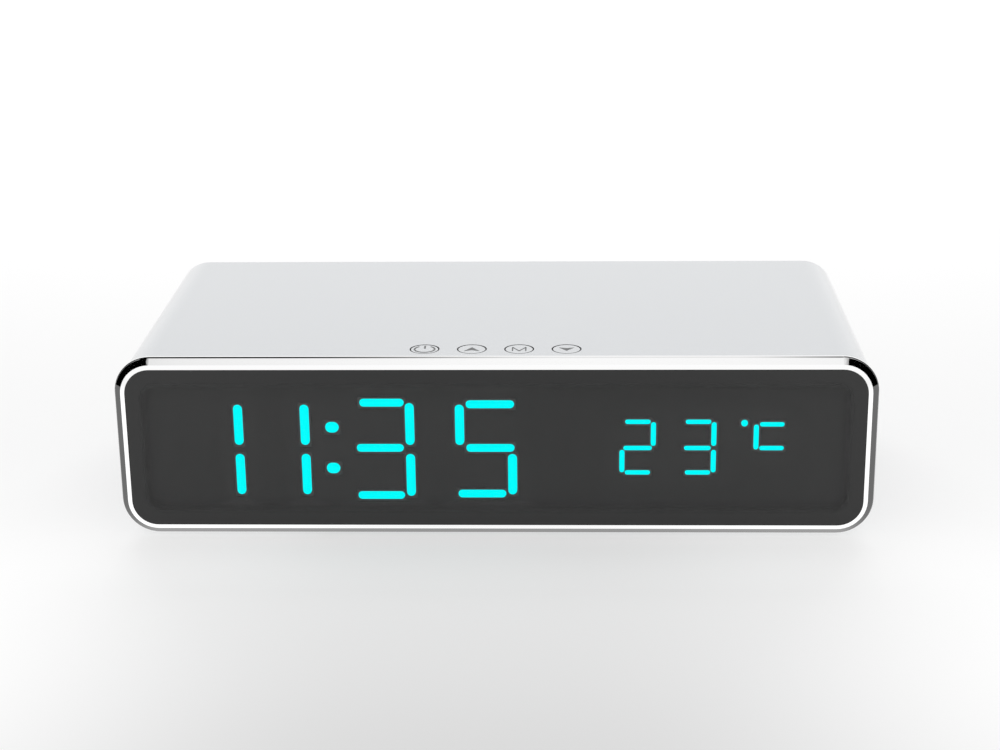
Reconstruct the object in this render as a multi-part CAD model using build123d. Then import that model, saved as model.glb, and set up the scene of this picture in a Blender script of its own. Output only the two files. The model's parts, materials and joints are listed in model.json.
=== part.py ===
from build123d import *
import os

os.makedirs("parts", exist_ok=True)

# Digital desk clock in millimetres: the front faces -Y, up is +Z, the feet stand on Z = 0,
# and the origin is under the middle of the clock.

# Whole clock
bezel_width = 200.0
bezel_height = 49.44
bezel_corner = 9.7
case_depth = 96.0  # from the rim of the bezel to the rear edge of the case
case_wall = 2.0
bezel_stand_out = 0.6  # the bezel stands this far outside the case all round
foot_stand_out = 2.0  # a foot reaches this far below the case

# Clearances that more than one piece uses
press_gap = 0.05
slide_gap = 0.1
fit_gap = 0.2
loose_gap = 0.3
overrun = 1.0  # a cut runs this far past the faces that it goes through

# Bezel
bevel_inset = 1.77  # polished outer bevel, measured in the front plane
bevel_forward = 1.4
edge_break = 0.3  # narrow flat where the outer bevel meets the band, measured along both
ring_inset = 1.15  # flatter inner ring
ring_forward = 0.35
rim_band = 1.0  # straight band behind the outer bevel
tongue_depth = 2.2  # part of the bezel that goes into the case
tongue_wall = 1.5
ledge_width = 2.5  # step that the lens is taped to
ledge_thickness = 1.2
boss_radius = 2.5
boss_inward = 0.8  # from the edge of the display opening to the middle of a boss
boss_corner_drop = 9.55  # from the inside of the case's top and bottom to a boss
hook_length = 10.0
hook_depth = 1.0
hook_height = 0.5
hook_inset = 34.0  # from the side of the bezel to the middle of a hook

# Lens and tape
lens_thickness = 1.5
lens_recess = 0.05
tape_thickness = 0.3

# Light block, display board and lamps
plate_thickness = 1.2  # front plate of the light block
block_depth = 4.6
ear_arm = 7.78  # from the end of the light block to the middle of a boss
block_key_gap = 0.9  # under the key board
block_floor_gap = 5.45  # over the inside of the case's bottom
end_wall = 1.8
ear_thickness = 1.5
ear_radius = 3.0
window_depth = 2.0
lamp_size = 0.9
lamp_height = 0.6
display_board_margin = 0.8
display_board_thickness = 1.2

# Figures: widths and places across are shares of the display's half width, heights are shares of
# its half height, and all are measured from its middle
middle_row_share = 0.023
time_upper_share = 0.56
time_lower_share = 0.595
time_half_share = 0.0816
narrow_half_share = 0.0716
wide_half_share = 0.083
tall_stretch_share = 0.0207
tens_of_hours_share = -0.7798
hours_share = -0.5888
tens_of_minutes_share = -0.3131
minutes_upper_share = -0.0131
minutes_lower_share = -0.0366
short_bar_shares = (-0.135, 0.038)  # reach of a bar's left and right end, of the half width
colon_share = -0.4429
colon_upper_share = 0.243
colon_lower_share = 0.285
degrees_upper_share = 0.336
degrees_lower_share = 0.316
degrees_half_share = 0.0422
both_ends_shares = (0.1, 0.1)
left_end_shares = (0.085, 0)
tens_of_degrees_share = 0.3863
degrees_share = 0.5495
unit_share = 0.7478
unit_upper_share = 0.304
degree_dot_share = 0.6733
degree_dot_rise_share = 0.296
time_upright_width = 2.33
time_bar_thickness = 2.15
time_segment_gap = 0.55
colon_width = 3.55
colon_height = 2.95
degrees_upright_width = 1.3
degrees_bar_thickness = 1.2
degrees_segment_gap = 0.12
unit_segment_gap = 0.25
degree_dot_width = 1.75
degree_dot_height = 1.8

# Keys in the top
key_pitch = 12.5
key_count = 4
key_row_x = 0.08
key_setback = 8.6  # from the rim of the bezel to the middle of the keys
key_radius = 3.7
key_hole_gap = 0.25
key_sink = 0.02
key_flange_radius = 4.7
key_flange_thickness = 0.8
key_stem_radius = 1.5
key_stem_length = 0.6
key_travel = 0.5
key_edge_round = 0.2
plunger_radius = 1.6
plunger_stand_out = 0.7
plunger_inside = 0.9
switch_size = 6.0
switch_height = 2.6
key_board_width = 66.0
key_board_depth = 9.5
key_board_thickness = 1.2
key_post_radius = 2.3
key_post_offset = 29.0

# Rear cover and its corner posts
cover_recess = 0.4
cover_thickness = 2.0
cover_gap = 0.15
cover_rib_depth = 1.8
cover_rib_wall = 1.2
corner_post_size = 9.0
corner_post_length = 10.0
corner_screw_inset = 4.8
rear_round = 0.8
vent_count = 9
vent_pitch = 4.0
vent_width = 1.6
vent_height = 16.0
vent_inset = 53.4  # from the side of the case to the middle of the vents
reset_offset = 30.0  # from the power inlet
reset_radius = 1.0

# Main board
main_board_inset = 25.4  # from the right side of the case
main_board_hatch_gap = 28.0  # from the middle of the battery cover
main_board_setback = 21.0
main_board_rear_gap = 0.5
main_board_thickness = 1.6
standoff_height = 4.0
standoff_radius = 3.0
standoff_inset = 4.5

# Power inlet, a USB-C socket
inlet_inset = 39.4  # from the right side of the case
inlet_width = 8.94
inlet_height = 3.26
inlet_length = 7.35
inlet_wall = 0.3
inlet_tongue_width = 6.7
inlet_tongue_thickness = 0.7
inlet_tongue_length = 5.0
inlet_back = 1.2

# Parts on the main board
chip_length = 10.0
chip_width = 6.0
chip_height = 1.6
chip_lead_reach = 1.2
chip_lead_width = 0.45
chip_lead_thickness = 0.25
chip_lead_pitch = 1.27
chip_lead_count = 7
capacitor_radius = 3.15
capacitor_height = 7.7
capacitor_base = 1.0
capacitor_pitch = 9.0
capacitor_count = 3
coil_choke_radius = 4.0
coil_choke_height = 4.2
buzzer_radius = 6.0
buzzer_height = 8.5
buzzer_hole_radius = 1.1
buzzer_hole_depth = 1.5
crystal_radius = 1.0
crystal_length = 6.0
header_width = 9.0
header_depth = 5.0
header_height = 6.0
header_slot_depth = 2.0

# Coin cell, its holder and the cover under it
hatch_inset = 33.4  # from the left side of the case
hatch_setback = 36.875  # from the rear edge
cell_radius = 10.0
cell_height = 3.2
cell_step_inset = 1.2
cell_step_height = 0.4
hatch_radius = 13.0
hatch_cover_thickness = 1.6
hatch_cover_recess = 0.2
bayonet_reach = 1.8
bayonet_thickness = 1.0
bayonet_width = 5.0
bayonet_count = 3
bayonet_turn = -40.0  # degrees from locked to open, seen from above
pad_radius = 6.0
coin_slot_length = 14.0
coin_slot_width = 1.8
coin_slot_depth = 0.7
holder_wall = 3.0
holder_lower_height = 1.8
holder_roof = 1.2
contact_width = 4.0
contact_thickness = 0.25
contact_reach = 4.0
cell_lead_radius = 0.6
cell_lead_bend = 4.0

# Charging coil under the top
coil_radius = 25.0
coil_bore_radius = 10.5
coil_thickness = 1.6
coil_top_gap = 0.4
ferrite_size = 52.0
ferrite_thickness = 1.0
tray_size = 60.0
tray_thickness = 1.5
tray_corner = 4.0
tray_post_inset = 3.6
tray_post_radius = 2.5
coil_lead_radius = 0.6
coil_lead_spacing = 3.0
coil_lead_reach = 13.0
coil_lead_bend = 6.0

# Temperature sensor beside the vents
sensor_radius = 1.5
sensor_lead_radius = 0.25
sensor_lead_spacing = 1.6
sensor_height = 9.0
sensor_setback = 3.5
sensor_inset = 9.5

# Flat cables
cable_thickness = 0.3
display_cable_width = 8.0
key_cable_width = 6.0
cable_bend = 2.5
display_cable_x = 7.0
key_cable_x = -6.0
board_plug_depth = 4.0
board_plug_height = 3.0

# Feet
foot_radius = 6.0
foot_pocket_gap = 0.2
foot_pocket_depth = 0.5
foot_inset_x = 17.0
foot_inset_y = 14.0
foot_edge_round = 0.5

# Screws
board_screw = {"head_radius": 1.9, "head_height": 1.1, "shank_radius": 0.95, "length": 3.4}
small_screw = {"head_radius": 1.6, "head_height": 0.9, "shank_radius": 0.75, "length": 3.4}
cover_screw = {"head_radius": 2.4, "head_height": 1.2, "shank_radius": 1.2, "length": 7.0}
tray_screw = {"head_radius": 1.9, "head_height": 1.1, "shank_radius": 0.95, "length": 3.6}
recess_width_share = 0.22  # cross recess in a head, as shares of the head's radius and height
recess_reach_share = 0.62
recess_depth_share = 0.55

# Planes and levels that the pieces share
case_width = bezel_width - 2 * bezel_stand_out
case_height = bezel_height - 2 * bezel_stand_out
case_corner = bezel_corner - bezel_stand_out
inner_width = case_width - 2 * case_wall
inner_height = case_height - 2 * case_wall
inner_corner = case_corner - case_wall
clock_depth = case_depth + bevel_forward + ring_forward
front_y = -clock_depth / 2
rim_y = front_y + ring_forward + bevel_forward
case_front_y = rim_y + rim_band
rear_y = clock_depth / 2
case_bottom_z = foot_stand_out
case_top_z = case_bottom_z + case_height
middle_z = case_bottom_z + case_height / 2
floor_z = case_bottom_z + case_wall
ceiling_z = case_top_z - case_wall

bevel_length = (bevel_inset**2 + bevel_forward**2) ** 0.5
edge_inset = edge_break * bevel_inset / bevel_length
edge_forward = edge_break * bevel_forward / bevel_length
lens_inset = bevel_inset + ring_inset
display_half_width = bezel_width / 2 - lens_inset
display_half_height = bezel_height / 2 - lens_inset
lens_front_y = front_y + lens_recess
lens_rear_y = lens_front_y + lens_thickness
ledge_front_y = lens_rear_y + tape_thickness
ledge_rear_y = ledge_front_y + ledge_thickness
tongue_rear_y = case_front_y + tongue_depth
opening_inset = lens_inset + ledge_width
block_front_y = lens_rear_y + slide_gap
block_rear_y = block_front_y + block_depth
display_board_rear_y = block_rear_y + display_board_thickness
ear_rear_y = block_rear_y + ear_thickness
boss_x = bezel_width / 2 - opening_inset - boss_inward
boss_rise = inner_height / 2 - boss_corner_drop
hook_offset = bezel_width / 2 - hook_inset
block_half_width = boss_x - ear_arm
block_bottom_drop = inner_height / 2 - block_floor_gap

key_y = rim_y + key_setback
key_top_z = case_top_z - key_sink
flange_top_z = ceiling_z - press_gap
flange_bottom_z = flange_top_z - key_flange_thickness
plunger_top_z = flange_bottom_z - key_stem_length
switch_top_z = plunger_top_z - plunger_stand_out
key_board_top_z = switch_top_z - switch_height
key_board_bottom_z = key_board_top_z - key_board_thickness
block_top_rise = key_board_bottom_z - block_key_gap - middle_z

cover_rear_y = rear_y - cover_recess
cover_front_y = cover_rear_y - cover_thickness
vent_row_x = vent_inset - case_width / 2
inlet_x = case_width / 2 - inlet_inset
reset_x = inlet_x - reset_offset
hatch_x = hatch_inset - case_width / 2
hatch_y = rear_y - hatch_setback
main_board_left_x = hatch_x + main_board_hatch_gap
main_board_width = case_width / 2 - main_board_inset - main_board_left_x
main_board_x = main_board_left_x + main_board_width / 2
main_board_front_y = rim_y + main_board_setback
main_board_rear_y = cover_front_y - main_board_rear_gap
main_board_bottom_z = floor_z + standoff_height
main_board_top_z = main_board_bottom_z + main_board_thickness
main_board_y = (main_board_front_y + main_board_rear_y) / 2
main_board_depth = main_board_rear_y - main_board_front_y

coil_y = (key_y + key_board_depth / 2 + cover_front_y) / 2
coil_top_z = ceiling_z - coil_top_gap
coil_bottom_z = coil_top_z - coil_thickness
ferrite_bottom_z = coil_bottom_z - ferrite_thickness
tray_bottom_z = ferrite_bottom_z - tray_thickness
tray_post_offset = tray_size / 2 - tray_post_inset

bayonet_bottom_z = floor_z + slide_gap
bayonet_top_z = bayonet_bottom_z + bayonet_thickness
holder_bore_bottom_z = floor_z + holder_lower_height
cell_bottom_z = holder_bore_bottom_z + fit_gap
cell_top_z = cell_bottom_z + cell_height
contact_top_z = cell_top_z + contact_thickness
holder_top_z = contact_top_z + holder_roof
holder_lower_bore = hatch_radius + bayonet_reach + loose_gap
holder_radius = holder_lower_bore + holder_wall

middle_row_drop = middle_row_share * display_half_height
time_upper_rise = time_upper_share * display_half_height
time_lower_drop = time_lower_share * display_half_height
tall_stretch = tall_stretch_share * display_half_height
time_half_width = time_half_share * display_half_width
narrow_half_width = narrow_half_share * display_half_width
wide_half_width = wide_half_share * display_half_width
degrees_upper_rise = degrees_upper_share * display_half_height
degrees_lower_drop = degrees_lower_share * display_half_height
degrees_half_width = degrees_half_share * display_half_width
tens_of_hours_x = tens_of_hours_share * display_half_width
hours_x = hours_share * display_half_width
tens_of_minutes_x = tens_of_minutes_share * display_half_width
minutes_upper_x = minutes_upper_share * display_half_width
minutes_lower_x = minutes_lower_share * display_half_width
colon_x = colon_share * display_half_width
tens_of_degrees_x = tens_of_degrees_share * display_half_width
degrees_x = degrees_share * display_half_width
unit_x = unit_share * display_half_width
unit_upper_rise = unit_upper_share * display_half_height
degree_dot_x = degree_dot_share * display_half_width
degree_dot_rise = degree_dot_rise_share * display_half_height
colon_upper_rise = colon_upper_share * display_half_height
colon_lower_drop = colon_lower_share * display_half_height


# Shapes that many pieces use
def slab(sketch, y_from, y_to):
    return extrude(Plane.XZ.offset(-y_from) * sketch, amount=y_from - y_to)


def layer(sketch, z_from, z_to):
    return extrude(Plane.XY.offset(z_from) * sketch, amount=z_to - z_from)


def rounded_outline(inset, gap):
    width = bezel_width - 2 * (inset + gap)
    height = bezel_height - 2 * (inset + gap)
    return Pos(0, middle_z) * RectangleRounded(width, height, bezel_corner - inset - gap)


def lofted_ring(inset_rear, y_behind, inset_front, y_ahead):
    behind = Plane.XZ.offset(-y_behind) * rounded_outline(inset_rear, 0)
    ahead = Plane.XZ.offset(-y_ahead) * rounded_outline(inset_front, 0)
    return loft([behind.face(), ahead.face()], ruled=True)


def disc(x, y, radius):
    return Pos(x, y) * Circle(radius)


# A screw stands on its head's seat at the origin, with the shank along -Z
def make_screw(screw):
    head_round = screw["head_height"] / 4
    head = layer(Circle(screw["head_radius"]), 0, screw["head_height"])
    head = fillet(head.edges().group_by(Axis.Z)[-1], head_round)
    shank = layer(Circle(screw["shank_radius"]), -screw["length"], 0)
    slot_width = screw["head_radius"] * recess_width_share
    slot_length = 2 * screw["head_radius"] * recess_reach_share
    slot_floor = screw["head_height"] * (1 - recess_depth_share)
    cross = Rectangle(slot_length, slot_width) + Rectangle(slot_width, slot_length)
    return head + shank - layer(cross, slot_floor, screw["head_height"] + overrun)


def screw_group(screw, places):
    return Compound([place * make_screw(screw) for place in places])


def facing_rear(x, y, z):
    return Pos(x, y, z) * Rot(-90, 0, 0)


def facing_down(x, y, z):
    return Pos(x, y, z) * Rot(180, 0, 0)


# Figures of the display
def bar(x, rise, length, thickness):
    return Pos(x, middle_z + rise) * SlotOverall(length, thickness)


def upright(x, rise_low, rise_high, thickness):
    rise = (rise_low + rise_high) / 2
    return Pos(x, middle_z + rise) * SlotOverall(rise_high - rise_low, thickness, rotation=90)


# The seven segments of one figure by letter: a is the top bar, and they run clockwise to f, with g
# in the middle. The upper and the lower half may stand on different centres, and a bar may have ends
# of its own, given by its letter as shares of the half width.
def figure_segments(style, upper_x, lower_x, half_width, stretch, reach, grow):
    thick = style["bar"] + 2 * grow
    wide = style["upright"] + 2 * grow
    top = style["rise"] + stretch - middle_row_drop
    bottom = -style["drop"] - stretch - middle_row_drop
    upper_low = style["upper_start"] - middle_row_drop - grow
    upper_high = top - style["upper_end"] + grow
    lower_high = -style["lower_start"] - middle_row_drop + grow
    lower_low = bottom + style["lower_end"] - grow

    def long_bar(letter, x, rise):
        left, right = (half_width * share for share in reach.get(letter, (0, 0)))
        length = 2 * (half_width - style["gap"] + grow) - style["upright"] + left + right
        return bar(x + (right - left) / 2, rise, length, thick)

    return {
        "a": long_bar("a", upper_x, top),
        "b": upright(upper_x + half_width, upper_low, upper_high, wide),
        "c": upright(lower_x + half_width, lower_low, lower_high, wide),
        "d": long_bar("d", lower_x, bottom),
        "e": upright(lower_x - half_width, lower_low, lower_high, wide),
        "f": upright(upper_x - half_width, upper_low, upper_high, wide),
        "g": long_bar("g", upper_x, -middle_row_drop),
    }


time_style = {
    "bar": time_bar_thickness,
    "upright": time_upright_width,
    "gap": time_segment_gap,
    "rise": time_upper_rise,
    "drop": time_lower_drop,
    "upper_start": 0.85,
    "upper_end": 0.13,
    "lower_start": 1.73,
    "lower_end": -0.2,
}
degrees_style = {
    "bar": degrees_bar_thickness,
    "upright": degrees_upright_width,
    "gap": degrees_segment_gap,
    "rise": degrees_upper_rise,
    "drop": degrees_lower_drop,
    "upper_start": 0.6,
    "upper_end": 0.12,
    "lower_start": 0.55,
    "lower_end": 0.05,
}
unit_style = {
    "bar": degrees_bar_thickness,
    "upright": degrees_upright_width,
    "gap": unit_segment_gap,
    "rise": unit_upper_rise,
    "drop": degrees_lower_drop,
    "upper_start": -0.38,
    "upper_end": 0.08,
    "lower_start": 0,
    "lower_end": 0,
}

# Centres of the upper and lower half, half width, stretch, bars with ends of their own, and lit
# segments of each figure
time_figures = [
    (tens_of_hours_x, tens_of_hours_x, time_half_width, 0, {}, "bc"),
    (hours_x, hours_x, narrow_half_width, 0, {}, "bc"),
    (
        tens_of_minutes_x,
        tens_of_minutes_x,
        time_half_width,
        tall_stretch,
        {"a": short_bar_shares},
        "abcdg",
    ),
    (minutes_upper_x, minutes_lower_x, wide_half_width, 0, {}, "acdfg"),
]
degrees_figures = [
    (tens_of_degrees_x, tens_of_degrees_x, degrees_half_width, 0, {"g": both_ends_shares}, "abdeg"),
    (degrees_x, degrees_x, degrees_half_width, 0, {"g": left_end_shares}, "abcdg"),
]
unit_letters = "afg"


def colon_dots(grow):
    places = (colon_upper_rise, -colon_lower_drop)
    size = (colon_width + 2 * grow, colon_height + 2 * grow)
    return [Pos(colon_x, middle_z + rise) * SlotOverall(size[0], size[1]) for rise in places]


def degree_dot(grow):
    dot = SlotOverall(degree_dot_height + 2 * grow, degree_dot_width + 2 * grow, rotation=90)
    return Pos(degree_dot_x, middle_z + degree_dot_rise) * dot


# Every window in the light block, sorted by what it shows
def display_windows(grow):
    windows = {"time": [], "temperature": [], "dark": []}
    for name, style, figures in (
        ("time", time_style, time_figures),
        ("temperature", degrees_style, degrees_figures),
    ):
        for upper_x, lower_x, half_width, stretch, reach, lit in figures:
            segments = figure_segments(style, upper_x, lower_x, half_width, stretch, reach, grow)
            for letter, shape in segments.items():
                windows[name if letter in lit else "dark"].append(shape)
    unit = figure_segments(unit_style, unit_x, unit_x, degrees_half_width, 0, {}, grow)
    windows["temperature"] += [unit[letter] for letter in unit_letters] + [degree_dot(grow)]
    windows["time"] += colon_dots(grow)
    return windows


# Front of the clock
def make_front_bezel():
    edge = lofted_ring(0, rim_y + edge_break, edge_inset, rim_y - edge_forward)
    bevel = lofted_ring(edge_inset, rim_y - edge_forward, bevel_inset, rim_y - bevel_forward)
    ring = lofted_ring(bevel_inset, rim_y - bevel_forward, lens_inset, front_y)
    band = slab(rounded_outline(0, 0), rim_y + edge_break, case_front_y)
    tongue_inset = bezel_stand_out + case_wall
    tongue = slab(rounded_outline(tongue_inset, slide_gap), case_front_y, tongue_rear_y)
    body = edge + bevel + ring + band + tongue
    body -= slab(rounded_outline(lens_inset, 0), front_y - overrun, ledge_front_y)
    body -= slab(rounded_outline(opening_inset, 0), ledge_front_y - overrun, tongue_rear_y + overrun)
    hollow = rounded_outline(tongue_inset + tongue_wall, slide_gap)
    body -= slab(hollow, ledge_rear_y, tongue_rear_y + overrun)
    for side_x in (-boss_x, boss_x):
        for rise in (-boss_rise, boss_rise):
            place = (side_x, middle_z + rise)
            body += slab(disc(*place, boss_radius), ledge_rear_y, block_rear_y)
            pilot = disc(*place, board_screw["shank_radius"] + press_gap)
            body -= slab(pilot, ledge_rear_y + slide_gap, block_rear_y + overrun)
    return body + hook_bars(hook_height, 0)


# Snap hooks on the top and bottom of the bezel's tongue; the pockets for them are the same bars
# with a gap all round
def hook_bars(height, gap):
    face_rise = inner_height / 2 - slide_gap
    middle_y = (case_front_y + tongue_rear_y) / 2
    bars = Part()
    for side in (-1, 1):
        for hook_x in (-hook_offset, hook_offset):
            outline = Rectangle(hook_length + 2 * gap, hook_depth + 2 * gap)
            root = middle_z + side * (face_rise - hook_depth)
            tip = middle_z + side * (face_rise + height)
            bars += layer(Pos(hook_x, middle_y) * outline, min(root, tip), max(root, tip))
    return bars


def make_front_lens():
    return slab(rounded_outline(lens_inset, press_gap), lens_front_y, lens_rear_y)


def make_lens_tape():
    outline = rounded_outline(lens_inset, press_gap) - rounded_outline(opening_inset, 0)
    return slab(outline, lens_rear_y, ledge_front_y)


# Light block behind the lens, with a cell for each segment and four ears on the bezel's bosses
def make_light_block():
    body = slab(rounded_outline(opening_inset, fit_gap), block_front_y, block_front_y + plate_thickness)
    cells_height = block_top_rise + block_bottom_drop
    cells_z = middle_z + (block_top_rise - block_bottom_drop) / 2
    cells = Pos(0, cells_z) * Rectangle(2 * block_half_width, cells_height)
    body += slab(cells, block_front_y, block_rear_y)
    for side in (-1, 1):
        wall_x = side * (block_half_width + end_wall / 2)
        wall = Pos(wall_x, cells_z) * Rectangle(end_wall, cells_height)
        body += slab(wall, block_front_y, ear_rear_y)
        for rise in (-boss_rise, boss_rise):
            arm_length = boss_x - block_half_width
            arm_x = side * (block_half_width + arm_length / 2)
            arm = Pos(arm_x, middle_z + rise) * Rectangle(arm_length, 2 * ear_radius)
            ear = arm + disc(side * boss_x, middle_z + rise, ear_radius)
            ear -= disc(side * boss_x, middle_z + rise, board_screw["shank_radius"] + slide_gap)
            body += slab(ear, block_rear_y, ear_rear_y)
    windows = sum(display_windows(press_gap).values(), [])
    body -= [slab(shape, block_front_y - overrun, block_rear_y + overrun) for shape in windows]
    for place_x, place_z in display_screw_places():
        pilot = disc(place_x, place_z, small_screw["shank_radius"] + press_gap)
        body -= slab(pilot, block_front_y + plate_thickness, block_rear_y + overrun)
    return body


# Clear places between the figures for the screws of the display board
def display_screw_places():
    loop_high = middle_z + time_upper_rise / 2
    loop_low = middle_z - time_lower_drop / 2
    between_x = (minutes_upper_x + time_half_width + tens_of_degrees_x - degrees_half_width) / 2
    right_x = (unit_x + degrees_half_width + block_half_width) / 2
    return [(x, z) for x in (tens_of_hours_x, between_x, right_x) for z in (loop_low, loop_high)]


def make_display_screws():
    places = []
    for side_x in (-boss_x, boss_x):
        for rise in (-boss_rise, boss_rise):
            places.append(facing_rear(side_x, ear_rear_y, middle_z + rise))
    return screw_group(board_screw, places)


def make_display_board_screws():
    places = [facing_rear(x, display_board_rear_y, z) for x, z in display_screw_places()]
    return screw_group(small_screw, places)


def make_segment_group(name):
    windows = display_windows(0)[name]
    return Compound([slab(shape, block_front_y, block_front_y + window_depth) for shape in windows])


def display_board_outline():
    low_z = middle_z - block_bottom_drop + display_board_margin
    high_z = middle_z + block_top_rise - display_board_margin
    width = 2 * (block_half_width - display_board_margin)
    return Pos(0, (low_z + high_z) / 2) * Rectangle(width, high_z - low_z)


def make_display_board():
    board = slab(display_board_outline(), block_rear_y, display_board_rear_y)
    for place_x, place_z in display_screw_places():
        hole = disc(place_x, place_z, small_screw["shank_radius"] + slide_gap)
        board -= slab(hole, block_rear_y - overrun, display_board_rear_y + overrun)
    return board


def make_segment_lamps():
    lamps = []
    for shapes in display_windows(0).values():
        for shape in shapes:
            middle = shape.center()
            chip = Pos(middle.X, middle.Y) * Rectangle(lamp_size, lamp_size)
            lamps.append(slab(chip, block_rear_y - lamp_height, block_rear_y))
    return Compound(lamps)


# A chip with two rows of leads, lying flat with its underside on Z = 0
def make_chip():
    lead_gap = 2 * chip_lead_thickness
    chip = layer(Rectangle(chip_length, chip_width), lead_gap, chip_height)
    first_x = -chip_lead_pitch * (chip_lead_count - 1) / 2
    for index in range(chip_lead_count):
        lead_x = first_x + index * chip_lead_pitch
        for side in (-1, 1):
            foot_y = side * (chip_width + chip_lead_reach) / 2
            foot = Pos(lead_x, foot_y) * Rectangle(chip_lead_width, chip_lead_reach)
            chip += layer(foot, 0, chip_lead_thickness)
            knee_y = side * (chip_width / 2 + chip_lead_thickness / 2)
            knee = Pos(lead_x, knee_y) * Rectangle(chip_lead_width, chip_lead_thickness)
            chip += layer(knee, 0, chip_height / 2)
    return chip


def make_display_drivers():
    chips = []
    for chip_x in (tens_of_minutes_x, degrees_x):
        chips.append(facing_rear(chip_x, display_board_rear_y, middle_z) * make_chip())
    return Compound(chips)


# A header stands on Z = 0 with its slot on top
def make_header(slot_width):
    body = layer(Rectangle(header_width, header_depth), 0, header_height)
    slot = Rectangle(slot_width + 2 * press_gap, cable_thickness + 2 * press_gap)
    return body - layer(slot, header_height - header_slot_depth, header_height + overrun)


# Case
def corner_post_places():
    reach_x = inner_width / 2 - corner_screw_inset
    reach_z = inner_height / 2 - corner_screw_inset
    return [(side_x * reach_x, middle_z + side_z * reach_z) for side_x in (-1, 1) for side_z in (-1, 1)]


def inner_outline(gap):
    width = inner_width - 2 * gap
    height = inner_height - 2 * gap
    return Pos(0, middle_z) * RectangleRounded(width, height, inner_corner - gap)


def corner_posts():
    corners = Sketch()
    for side_x in (-1, 1):
        for side_z in (-1, 1):
            corner_x = side_x * (inner_width - corner_post_size) / 2
            corner_z = middle_z + side_z * (inner_height - corner_post_size) / 2
            corners += Pos(corner_x, corner_z) * Rectangle(corner_post_size, corner_post_size)
    posts = slab(corners & inner_outline(-press_gap), cover_front_y - corner_post_length, cover_front_y)
    for place_x, place_z in corner_post_places():
        pilot = disc(place_x, place_z, cover_screw["shank_radius"] + press_gap)
        posts -= slab(pilot, cover_front_y - cover_screw["length"], cover_front_y + overrun)
    return posts


def key_places():
    first_x = key_row_x - key_pitch * (key_count - 1) / 2
    return [(first_x + index * key_pitch, key_y) for index in range(key_count)]


def key_post_places():
    return [(key_row_x + side * key_post_offset, key_y) for side in (-1, 1)]


def tray_post_places():
    sides = (-tray_post_offset, tray_post_offset)
    return [(side_x, coil_y + side_y) for side_x in sides for side_y in sides]


def standoff_places():
    reach_x = main_board_width / 2 - standoff_inset
    reach_y = main_board_depth / 2 - standoff_inset
    return [(main_board_x + x, main_board_y + y) for x in (-reach_x, reach_x) for y in (-reach_y, reach_y)]


def foot_places():
    reach_x = case_width / 2 - foot_inset_x
    front_foot_y = case_front_y + foot_inset_y
    rear_foot_y = rear_y - foot_inset_y
    return [(side * reach_x, foot_y) for side in (-1, 1) for foot_y in (front_foot_y, rear_foot_y)]


# A post between two levels, with a blind screw hole from its free end
def drilled_post(place, radius, wall_z, free_z, screw):
    post = layer(disc(*place, radius), min(wall_z, free_z), max(wall_z, free_z))
    hole = disc(*place, screw["shank_radius"] + press_gap)
    if free_z < wall_z:
        return post - layer(hole, free_z - overrun, wall_z)
    return post - layer(hole, wall_z, free_z + overrun)


def hatch_notches(angle):
    notches = Sketch()
    reach = hatch_radius + bayonet_reach + fit_gap
    for index in range(bayonet_count):
        turn = angle + index * 360 / bayonet_count
        notch = Pos(reach / 2, 0) * Rectangle(reach, bayonet_width + 2 * fit_gap)
        notches += Rot(0, 0, turn) * notch
    return notches


def make_housing_sleeve():
    outer = slab(rounded_outline(bezel_stand_out, 0), case_front_y, rear_y)
    outer = fillet(outer.edges().group_by(Axis.Y)[-1], rear_round)
    body = outer - slab(inner_outline(0), case_front_y - overrun, rear_y + overrun)
    body += corner_posts()
    for place in key_places():
        body -= layer(disc(*place, key_radius + key_hole_gap), ceiling_z - overrun, case_top_z + overrun)
    for place in key_post_places():
        body += drilled_post(place, key_post_radius, ceiling_z, key_board_top_z, small_screw)
    for place in tray_post_places():
        body += drilled_post(place, tray_post_radius, ceiling_z, ferrite_bottom_z, tray_screw)
    for place in standoff_places():
        body += drilled_post(place, standoff_radius, floor_z, main_board_bottom_z, board_screw)
    for place in foot_places():
        pocket = disc(*place, foot_radius + foot_pocket_gap)
        body -= layer(pocket, case_bottom_z - overrun, case_bottom_z + foot_pocket_depth)
    hatch = Circle(hatch_radius + slide_gap) + hatch_notches(bayonet_turn)
    body -= layer(Pos(hatch_x, hatch_y) * hatch, case_bottom_z - overrun, floor_z + overrun)
    return body - hook_bars(hook_height + fit_gap, fit_gap)


# Rear cover, recessed a little into the case and held by four screws
def vent_slots():
    first_x = vent_row_x - vent_pitch * (vent_count - 1) / 2
    slots = Sketch()
    for index in range(vent_count):
        slots += upright(first_x + index * vent_pitch, -vent_height / 2, vent_height / 2, vent_width)
    return slots


def inlet_outline(grow):
    width = inlet_width + 2 * grow
    height = inlet_height + 2 * grow
    return Pos(inlet_x, main_board_top_z + inlet_height / 2) * SlotOverall(width, height)


def make_rear_cover():
    cover = slab(inner_outline(cover_gap), cover_front_y, cover_rear_y)
    cover += slab(cover_ribs(), cover_front_y - cover_rib_depth, cover_front_y)
    for place_x, place_z in corner_post_places():
        hole = disc(place_x, place_z, cover_screw["shank_radius"] + fit_gap)
        sink = disc(place_x, place_z, cover_screw["head_radius"] + fit_gap)
        cover -= slab(hole, cover_front_y - overrun, cover_rear_y + overrun)
        cover -= slab(sink, cover_rear_y - cover_screw["head_height"], cover_rear_y + overrun)
    through = vent_slots() + Pos(reset_x, middle_z) * Circle(reset_radius) + inlet_outline(loose_gap)
    return cover - slab(through, cover_front_y - cover_rib_depth - overrun, cover_rear_y + overrun)


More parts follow.
